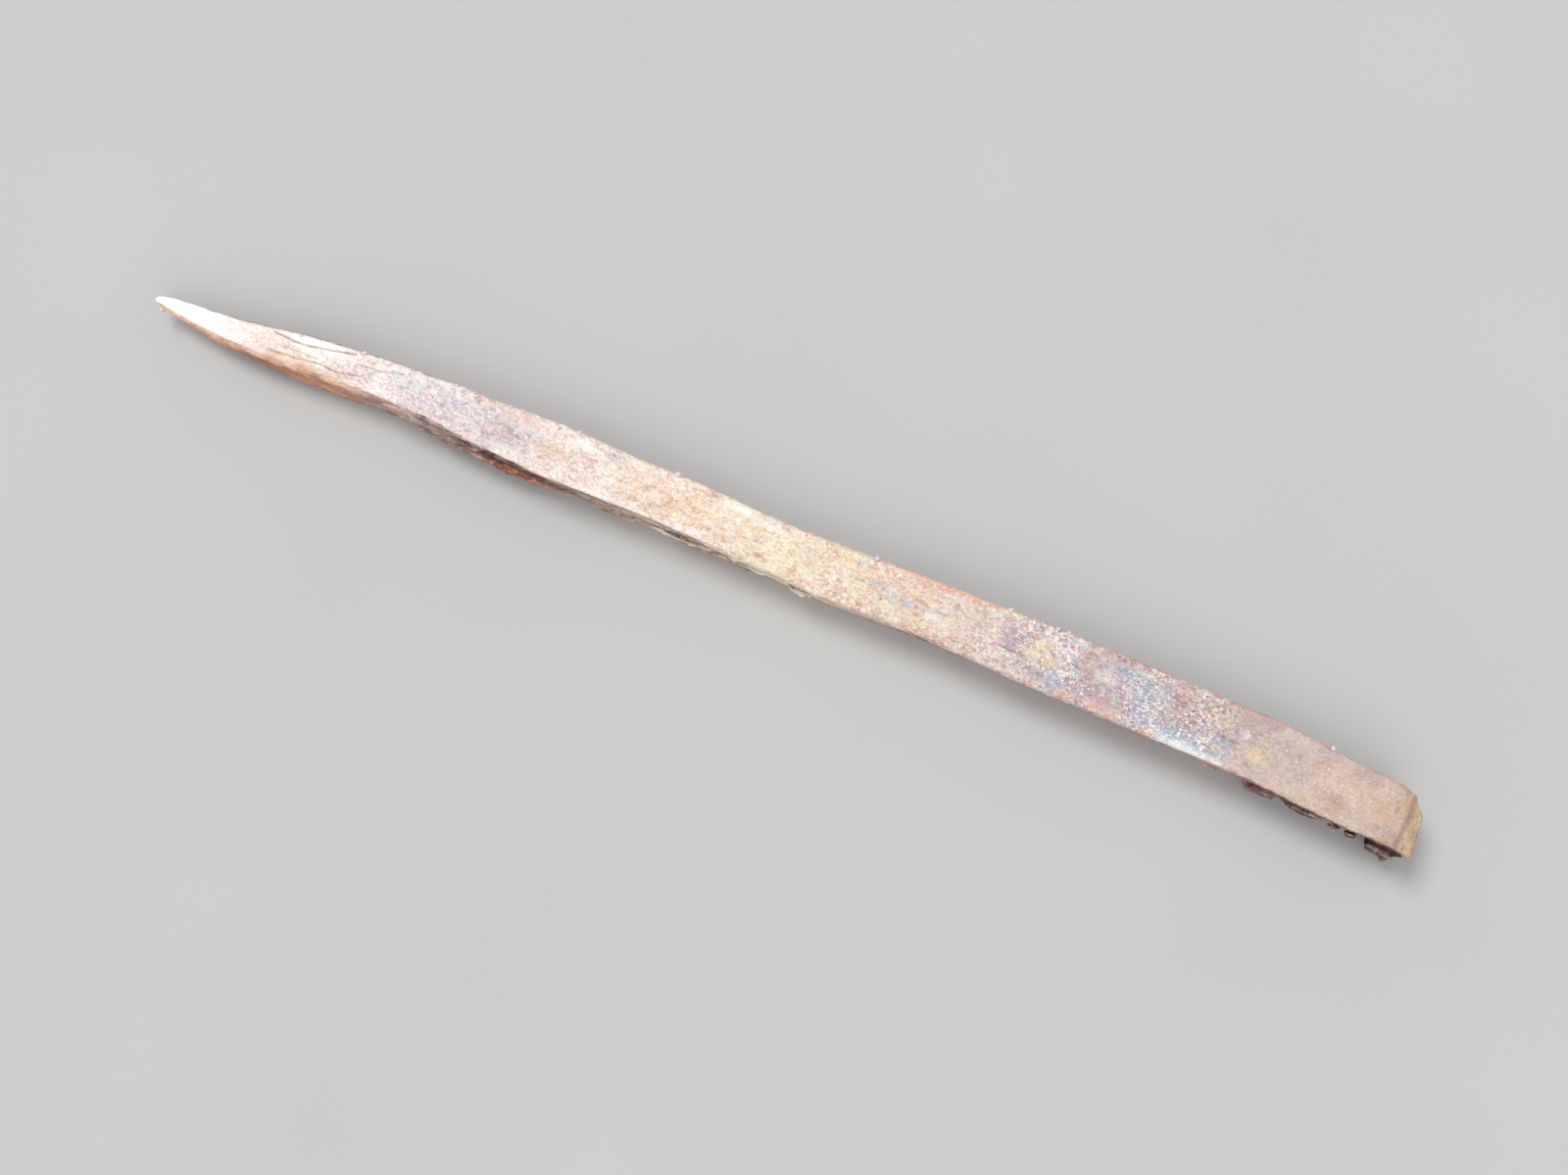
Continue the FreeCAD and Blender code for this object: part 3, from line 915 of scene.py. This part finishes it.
SCALE_COLOURS = SIDE_COLOURS[:6] + [
    (-34, (0.86, 0.78, 0.71)), (-18, (0.94, 0.88, 0.81)),
    (2, (0.94, 0.89, 0.82)), (60, (0.84, 0.76, 0.71)),
    (84, (0.74, 0.63, 0.58)), (98, (0.56, 0.42, 0.42)),
    (112, (0.58, 0.46, 0.43)), (127, (0.60, 0.48, 0.43)),
]

PEACH_POINT_COLOURS = [
    (-127, (0.96, 0.74, 0.58)), (-112, (0.90, 0.66, 0.52)),
    (-107, (0.62, 0.49, 0.46)), (-101, (0.72, 0.53, 0.44)),
    (-94, (0.82, 0.60, 0.49)), (-88, (0.78, 0.61, 0.53)),
    (-78, (0.74, 0.63, 0.58)),
]

TINT_COLOURS = {
    "salmon": (0.92, 0.68, 0.62),
    "yellow": (0.93, 0.83, 0.62),
    "lilac": (0.62, 0.56, 0.63),
    "blue": (0.58, 0.68, 0.76),
    "white": (0.98, 0.97, 0.96),
    "orange": (0.86, 0.58, 0.36),
}
# Colours as seen. Those that end in _SHADE darken what they lie on.
# Dark rust; on the scale it is also painted shade in the pits and the crevice.
DARK_RUST_AND_SHADE = (0.21, 0.13, 0.10)
TAN_RUST = (0.80, 0.69, 0.62)
ORANGE_RUST = (0.74, 0.38, 0.22)
RUST_SHADE = (0.58, 0.43, 0.37)
CLOUD_SHADE = (0.93, 0.84, 0.81)
PORE_SHADE = (0.80, 0.68, 0.63)
CAVITY_SHADE = (0.72, 0.60, 0.54)
# White crystals, and painted glints of the sparkling grains.
CREAM_CRYSTAL_GLINT = (1.0, 0.97, 0.92)
BLUISH_CRYSTAL_GLINT = (0.84, 0.90, 0.95)
# Bare iron at the point, with a painted pool of light that turns it near-white.
BARE_WHITE_GLARE = (0.99, 0.98, 0.965)
MAUVE = (0.80, 0.60, 0.57)
# TURNED_SHADE and BLOTCH_SHADE: painted shade on the faces turned away from the light.
TURNED_SHADE = (0.84, 0.76, 0.72)
BLOTCH_SHADE = (0.66, 0.54, 0.50)
PEACH = (0.99, 0.85, 0.74)
PEACH_SHADE = (0.86, 0.74, 0.69)
RIM_OCHRE = (0.88, 0.77, 0.63)
RIM_BROWN = (0.62, 0.49, 0.41)
CREASE_SHADE_BROWN = (0.42, 0.29, 0.27)
CRACK_BROWN = (0.56, 0.38, 0.31)
FISSURE_BROWN = (0.24, 0.16, 0.14)
SCALE_SHADE = (0.74, 0.65, 0.61)
SPOT_BROWN = (0.42, 0.29, 0.24)
# Pale worn scale; near the head also a painted highlight on the upward faces.
WORN_SCALE_HIGHLIGHT = (0.91, 0.82, 0.76)
BARE_SCALE_HIGHLIGHT = (0.94, 0.87, 0.82)
# Painted shade in the crevices of the scale.
PAINTED_SHADE_BROWN = (0.27, 0.21, 0.19)
# Orange rust of the low edge, and the painted highlight on it.
ORANGE_EDGE_RUST = (0.68, 0.31, 0.18)
ORANGE_EDGE_HIGHLIGHT = (1.0, 0.74, 0.56)
# Silvery scale and the painted highlight on it.
SILVER_HIGHLIGHT = (0.86, 0.83, 0.83)
GRIT_GREY = (0.72, 0.66, 0.66)
GRIT_WHITE = (0.96, 0.94, 0.94)
FLOOR_GREY = (0.73, 0.73, 0.725)
FLOOR_PALE = (0.75, 0.747, 0.742)


def along_the_spike(tree, colours):
    """A colour that changes slowly from the point to the head."""
    first = colours[0][0]
    span = colours[-1][0] - first
    x = tree.call("SeparateXYZ", "X", {0: tree.place})
    ramp = tree.add("ValToRGB", {0: tree.add_times(x, 1.0 / (span * MM), -first / span)})
    stops = ramp.color_ramp.elements
    for i, (x_mm, colour) in enumerate(colours):
        share = (x_mm - first) / span
        stop = stops[i] if i < 2 else stops.new(share)
        stop.position = share
        stop.color = linear(colour)
    return ramp.outputs[0]


def rust_colour(tree):
    """Streaky rust with tan high spots and a little orange bloom."""
    base = along_the_spike(tree, SIDE_COLOURS)
    dark = tree.mix(0.85, base, RUST_SHADE, "MULTIPLY")
    streak = tree.patches(0.34, 0.62, 2.2, 5.0, 0.75, 0.45)
    colour = tree.mix(streak, dark, base)
    pale = tree.patches(0.50, 0.64, 0.9, 4.0, 0.7, 0.6, 5.0)
    colour = tree.stain(colour, TAN_RUST, pale, 0.6)
    colour = tree.mix(0.25, colour, tree.noise(1.4, 3.0, 0.7, shift=8.0, output="Color"), "OVERLAY")
    bloom = tree.patches(0.58, 0.70, 3.0, 3.0, 0.7, shift=9.0)
    return tree.stain(colour, ORANGE_RUST, bloom, 0.6)


def crust_of_many_hues(tree):
    """The top: fine pink, cream, grey and lilac mottling with darker pores."""
    quiet = tree.mask("quiet")
    colour = along_the_spike(tree, TOP_COLOURS_WITH_PAINTED_FALLOFF)
    coarse = tree.noise(2.2, 4.0, 0.75, output="Color")
    colour = tree.mix(tree.add_times(quiet, -0.12, 0.21), colour, coarse, "LINEAR_LIGHT")
    fine = tree.noise(0.9, 3.0, 0.75, shift=3.0, output="Color")
    colour = tree.mix(0.10, colour, fine, "LINEAR_LIGHT")
    clouds = tree.patches(0.42, 0.62, 6.0, 5.0, 0.7, 0.55, 1.0)
    colour = tree.stain(colour, CLOUD_SHADE, clouds, 0.55, "MULTIPLY")
    grain = tree.noise(0.6, 2.0, 0.9, 0.7, 5.0)
    contrast = tree.plus(tree.add_times(quiet, -0.22, 0.42), tree.times(tree.mask("speckle"), 0.34))
    colour = tree.mix(contrast, colour, grain, "LINEAR_LIGHT")
    pores = tree.patches(0.49, 0.37, 1.2, 5.0, 0.85, 0.6, 2.0)
    pores = tree.times(pores, tree.add_times(quiet, -0.55, 0.70))
    return tree.mix(pores, colour, PORE_SHADE, "MULTIPLY")


def with_tints(tree, colour, fray):
    """The flecked stains of the top."""
    for name, tint in TINT_COLOURS.items():
        strength = tree.mask(name)
        flecks = tree.band(tree.plus(tree.times(strength, 0.22), fray), 0.58, 0.74)
        share = tree.plus(tree.times(flecks, 0.42), tree.times(strength, 0.24))
        colour = tree.mix(tree.times(share, tree.band(strength, 0.05, 0.5)), colour, tint)
    return colour


def with_crystals_and_glints(tree, colour):
    """White crystals with painted glints, in places bluish on the speckled top."""
    speckle = tree.mask("speckle")
    dots = tree.noise(0.48, 3.0, 0.85, 0.7, 6.0)
    dots = tree.band(tree.plus(dots, tree.times(speckle, 0.14)), 0.61, 0.69)
    patches = tree.patches(0.42, 0.58, 1.8, 2.0, 0.6, shift=18.0)
    bluish = tree.times(patches, tree.band(speckle, 0.4, 0.7))
    # White dots: crystals and painted glints.
    return tree.mix(tree.times(dots, 0.9), colour, tree.mix(bluish, CREAM_CRYSTAL_GLINT, BLUISH_CRYSTAL_GLINT))


def with_sides(tree, colour, fray):
    """Rust on the front, painted shade in blotches on the faces turned away from the light, mauve on the
    back edge.
    """
    mauve = tree.add_times(tree.noise(1.5, 3.0, 0.7, shift=14.0), 1.2, -0.2)
    colour = tree.mix(tree.times(tree.mask("back_edge"), mauve), colour, MAUVE)
    side = rust_colour(tree)
    side = tree.stain(side, TAN_RUST, tree.mask("shoulder"), 0.6)
    # Painted shade on the faces turned away from the light, darker still in blotches.
    turned = tree.mix(1.0, side, TURNED_SHADE, "MULTIPLY")
    blotch = tree.patches(0.40, 0.60, 11.0, 5.0, 0.7, 0.6, 15.0)
    turned = tree.mix(blotch, tree.mix(1.0, turned, BLOTCH_SHADE, "MULTIPLY"), turned)
    side = tree.mix(tree.mask("turned_away_shade"), side, turned)
    fringe = tree.band(tree.plus(tree.mask("sides"), tree.add_times(fray, 0.6, -0.3)), 0.35, 0.70)
    return tree.mix(fringe, colour, side)


def with_peach_point(tree, colour, fray):
    """Peach on the front and the worn edge of the point."""
    warm = tree.noise(1.3, 4.0, 0.75, 0.6)
    warm = tree.plus(warm, tree.times(tree.mask("deep"), -0.45))
    peach = tree.mix(tree.band(warm, 0.0, 0.45), along_the_spike(tree, PEACH_POINT_COLOURS), PEACH)
    hues = tree.noise(1.1, 4.0, 0.8, shift=16.0, output="Color")
    peach = tree.mix(0.10, peach, hues, "LINEAR_LIGHT")
    stained = tree.patches(0.44, 0.58, 2.0, 4.0, 0.8, 0.5, 17.0)
    peach = tree.stain(peach, PEACH_SHADE, stained, 0.7, "MULTIPLY")
    fringe = tree.plus(tree.mask("peach"), tree.add_times(fray, 0.8, -0.4))
    return tree.mix(tree.band(fringe, 0.15, 0.90), colour, peach)


def with_struck_rim(tree, colour):
    """Ochre on the struck end, and brown with painted shade in its crease."""
    worn = tree.patches(0.28, 0.70, 1.6, 5.0, 0.8, shift=12.0, across=0.6)
    colour = tree.stain(colour, tree.mix(worn, RIM_BROWN, RIM_OCHRE), tree.mask("rim"), 0.75)
    # Brown, with painted shade, in the crease.
    return tree.stain(colour, CREASE_SHADE_BROWN, tree.mask("crease"), 0.42)


def fissures(tree, shift):
    """Thin, short gaps between the layers, from 0 to 1."""
    streak = tree.patches(0.46, 0.34, 1.1, 6.0, 0.78, 0.16, shift)
    return tree.times(streak, tree.patches(0.36, 0.60, 5.0, 4.0, 0.7, 0.4, shift + 3.0))


def with_seams(tree, colour):
    """Dark rust under the ledges and in the fissures and cracks, and painted shade in the hollows."""
    layered = tree.mask("layered")
    seams = tree.times(layered, tree.band(tree.mask("ledges"), 0.45, 0.2))
    colour = tree.stain(colour, DARK_RUST_AND_SHADE, seams, 0.4)
    gaps = tree.times(layered, fissures(tree, 44.0))
    colour = tree.stain(colour, FISSURE_BROWN, gaps, 0.8)
    # Painted shade in the hollows.
    colour = tree.stain(colour, CAVITY_SHADE, tree.mask("cavity"), 0.25, "MULTIPLY")
    return tree.stain(colour, CRACK_BROWN, tree.mask("cracks"), 0.8)


def iron_material():
    tree = Nodes("rusted_iron")
    fray = tree.noise(0.9, 4.0, 0.75, shift=4.0)
    colour = with_tints(tree, crust_of_many_hues(tree), fray)
    colour = with_crystals_and_glints(tree, colour)
    # The point and the lens behind the first fold: pale bare iron with a painted pool of light.
    colour = tree.mix(tree.mask("tip"), colour, BARE_WHITE_GLARE)
    colour = with_sides(tree, colour, fray)
    colour = with_peach_point(tree, colour, fray)
    colour = with_struck_rim(tree, colour)
    colour = with_seams(tree, colour)
    height = tree.plus(tree.times(tree.cells(0.5), -0.7), tree.noise(0.45, 3.0, 0.7, shift=7.0))
    rough = tree.add_times(tree.noise(1.0, 3.0, 0.6, shift=11.0), 0.35, 0.55)
    return tree.finish(colour, rough, height, BUMP_MM)


def crust_of_scale(tree):
    """Scale before it is stained: tones, grain, brown spots, and worn rims with a painted highlight on the
    upward faces near the head.
    """
    colour = along_the_spike(tree, SCALE_COLOURS)
    darker = tree.mix(1.0, colour, SCALE_SHADE, "MULTIPLY")
    colour = tree.mix(tree.band(tree.mask("tone"), 0.25, 0.6), darker, colour)
    hues = tree.noise(1.2, 4.0, 0.8, shift=28.0, output="Color")
    colour = tree.mix(0.14, colour, hues, "LINEAR_LIGHT")
    colour = tree.mix(0.35, colour, tree.noise(0.6, 3.0, 0.85, 0.5, 37.0), "LINEAR_LIGHT")
    spots = tree.patches(0.47, 0.36, 1.0, 5.0, 0.8, 0.4, 39.0)
    colour = tree.stain(colour, SPOT_BROWN, spots, 0.65)
    # Worn rims; near the head the upward faces get a painted highlight.
    edge = tree.plus(tree.mask("rim"), tree.add_times(tree.noise(0.8, 3.0, 0.7), 1.0, -0.5))
    return tree.stain(colour, WORN_SCALE_HIGHLIGHT, tree.band(edge, 0.3, 0.9), 0.6)


def with_painted_shade_and_orange_edge(tree, colour):
    """Painted shade in the crevices, and orange rust with painted highlights along the low edge beside it.
    """
    # Painted shade, broken up by noise.
    painted_shade = tree.times(tree.mask("painted_shade"), tree.patches(0.36, 0.56, 1.6, 5.0, 0.75, 0.5, 33.0))
    colour = tree.stain(colour, PAINTED_SHADE_BROWN, painted_shade, 0.95)
    # Orange rust, with painted highlights in its paler patches.
    orange_and_highlight = tree.mix(tree.patches(0.45, 0.60, 0.7, 4.0, 0.8, 0.6, 31.0), ORANGE_EDGE_RUST, ORANGE_EDGE_HIGHLIGHT)
    orange_edge_share = tree.times(tree.mask("orange_edge_highlight"), tree.patches(0.42, 0.56, 1.4, 4.0, 0.75, 0.6, 35.0))
    colour = tree.stain(colour, orange_and_highlight, orange_edge_share, 0.8)
    bloom = tree.patches(0.60, 0.72, 2.4, 3.0, 0.7, shift=29.0)
    return tree.stain(colour, ORANGE_RUST, bloom, 0.5)


def with_bare_scale(tree, colour):
    """Silvery layers with a painted highlight near the head, dark rust and painted shade in the pits, and
    pale flaked edges with a painted highlight.
    """
    # Silvery scale, with a painted highlight on the upward faces.
    silver_highlight = tree.patches(0.36, 0.50, 0.9, 3.0, 0.7, 0.3)
    silver_highlight = tree.times(tree.mask("silver_highlight"), tree.times(silver_highlight, 0.7))
    colour = tree.mix(silver_highlight, colour, SILVER_HIGHLIGHT)
    # Dark rust and painted shade in the pits and the crevice.
    colour = tree.stain(colour, DARK_RUST_AND_SHADE, tree.mask("pit_shade"), 0.65)
    # Pale flaked edges with a painted highlight on their upward faces.
    worn = tree.patches(0.35, 0.60, 0.9, 3.0, 0.7, shift=42.0)
    bare = tree.times(tree.mask("bare_edge_highlight"), tree.times(worn, 0.7))
    return tree.mix(bare, colour, BARE_SCALE_HIGHLIGHT)


def scale_material():
    tree = Nodes("rust_scale")
    colour = with_painted_shade_and_orange_edge(tree, crust_of_scale(tree))
    colour = with_bare_scale(tree, colour)
    gaps = fissures(tree, 24.0)
    colour = tree.stain(colour, FISSURE_BROWN, gaps, 0.8)
    height = tree.plus(tree.noise(0.5, 4.0, 0.7, 0.5), tree.times(gaps, -0.8))
    rough = tree.add_times(tree.noise(1.0, 3.0, 0.6, shift=11.0), 0.3, 0.6)
    return tree.finish(colour, rough, height, BUMP_MM)


def grit_material():
    tree = Nodes("grit")
    colour = tree.mix(tree.noise(0.5, 3.0, 0.7), GRIT_GREY, GRIT_WHITE)
    return tree.finish(colour, 0.8, tree.noise(0.25, 3.0, 0.7), 0.08)


# ---- floor and light ----
FLOOR_HALF_WIDTH = 15.0     # metres, far past the view


def make_floor():
    mesh = bpy.data.meshes.new("floor")
    half = FLOOR_HALF_WIDTH
    corners = [(-half, -half, 0), (half, -half, 0), (half, half, 0), (-half, half, 0)]
    mesh.from_pydata(corners, [], [(0, 1, 2, 3)])
    floor = bpy.data.objects.new("floor", mesh)
    bpy.context.scene.collection.objects.link(floor)
    tree = Nodes("pale_floor")
    colour = tree.mix(tree.noise(60.0, 2.0, 0.5), FLOOR_GREY, FLOOR_PALE)
    mesh.materials.append(tree.finish(colour, 0.9, tree.noise(2.0), 0.05, 0.2))


def soft_sun(name, azimuth_deg, elevation_deg, spread_deg, strength):
    """A far, wide lamp with soft shadows."""
    data = bpy.data.lights.new(name, "SUN")
    data.angle = math.radians(spread_deg)
    data.energy = strength
    lamp = bpy.data.objects.new(name, data)
    bpy.context.scene.collection.objects.link(lamp)
    a = math.radians(azimuth_deg)
    e = math.radians(elevation_deg)
    towards = Vector((math.cos(a) * math.cos(e), math.sin(a) * math.cos(e), math.sin(e)))
    lamp.rotation_mode = "QUATERNION"
    lamp.rotation_quaternion = towards.to_track_quat("Z", "Y")


# Azimuth, elevation and spread in degrees, and strength.
KEY = (150.0, 58.0, 24.0, 1.68)
FILL = (-60.0, 50.0, 50.0, 0.57)
STUDIO_COLOUR = (0.985, 0.99, 1.0, 1.0)
STUDIO_STRENGTH = 0.63


def make_light():
    soft_sun("key", *KEY)
    soft_sun("fill", *FILL)
    world = bpy.data.worlds.new("studio")
    bpy.context.scene.world = world
    world.use_nodes = True
    background = world.node_tree.nodes["Background"]
    background.inputs["Color"].default_value = STUDIO_COLOUR
    background.inputs["Strength"].default_value = STUDIO_STRENGTH
    bpy.context.scene.view_settings.view_transform = "Standard"


# ---- the object ----
make_camera()
make_floor()
make_light()
IRON = iron_material()
SCALE = scale_material()
GRIT = grit_material()

BAR_VOXEL_MM = 0.36         # the squares that the bar is rebuilt with
bar = even_out(new_piece("weathered_bar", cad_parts["spike_bar"].data.copy()), BAR_VOXEL_MM)
wear_edge_round(bar)
refine_near_folds(bar)
weather_bar(bar)
put(bar, "rusted_iron", IRON, "spike_bar")

COARSE = (0.27, 0.26)       # the squares that a crust is rebuilt with, and its roughness
FINE = (0.16, 0.14)
# CAD node, piece, its sheets, and how fine it is. Near the head the outermost sheets stand highest and
# leave a dark gap behind them.
SCALE_PIECES = [
    ("side_scale_inner", "inner_scale_crust", Stack(3, 101, rise=0.8, power=3.5), COARSE),
    ("side_scale_outer", "outer_scale_crust", Stack(3, 201, rise=0.3, power=3.0), COARSE),
    ("side_scale_thin", "thin_scale_crust", Stack(2, 301, rise=0.8, power=2.5), COARSE),
    ("shank_scale_remnants", "scale_remnants", Stack(2, 701, rise=0.3, power=2.5, lift=0.35), COARSE),
    ("head_scale_stack", "head_stack_sheets", Stack(4, 401, (0.30, 0.05), 0.4, 1.6, power=2.5), FINE),
    ("head_scale_slivers", "head_sliver_sheets", Stack(3, 501, (0.15, 0.0), 0.4, 1.6, power=3.0), FINE),
    ("head_lifting_flake", "lifting_flake_sheets", Stack(2, 601, (0.22, 0.0), 0.4, 1.6, power=6.0), FINE),
]
for node, name, stack, (voxel_mm, rough_mm) in SCALE_PIECES:
    crust = layered_piece(node, name, stack)
    make_rocky(crust, voxel_mm, rough_mm, stack.seed + 50)
    put(crust, "rust_scale", SCALE, node)

lip = lump_piece("head_scale_lip", "scale_lip", 0.22, 0.20, 711, soften=12, bend=1.2)
put(lip, "rust_scale", SCALE, "head_scale_lip")
small_flake = lump_piece("head_small_flake", "small_flake", 0.12, 0.05, 721, bend=0.3)
put(small_flake, "rust_scale", SCALE, "head_small_flake")
grit = lump_piece("cemented_grains", "grit_grains", 0.12, 0.10, 731, (1.0, 1.0, 1.0), soften=7)
round_grains(grit.data)
put(grit, "grit", GRIT, "cemented_grains")
